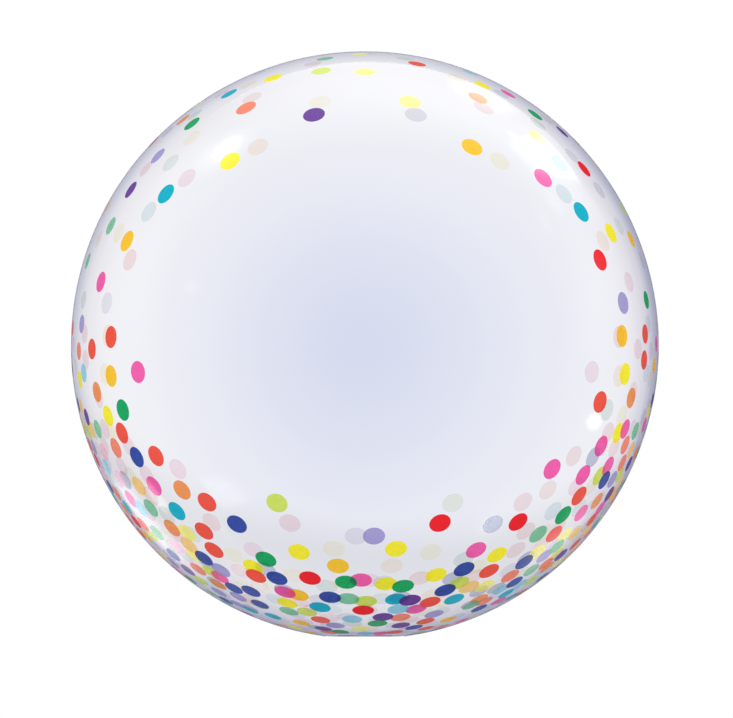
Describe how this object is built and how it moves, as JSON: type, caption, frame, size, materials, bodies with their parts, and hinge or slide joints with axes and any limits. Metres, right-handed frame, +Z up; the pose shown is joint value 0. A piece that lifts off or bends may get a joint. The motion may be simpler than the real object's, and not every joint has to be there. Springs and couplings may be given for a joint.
{
  "type": "bubble balloon",
  "caption": "Clear round bubble balloon of stretched film with a multicoloured confetti dot print and a flat filling neck turned back under its foot.",
  "frame": {"origin": "middle of the flat spot that the bubble rests on, under its centre", "axes": "+Z up through the centre of the bubble, -Y towards the printed front that the picture shows, +Y along the flat neck"},
  "size_m": [0.5598, 0.5598, 0.5579],
  "materials": {
    "clear_film": "clear gloss stretch film with a faint lavender tint"
  },
  "bodies": {
    "root": {"clear_bubble": "clear_film"}
  },
  "joints": []
}
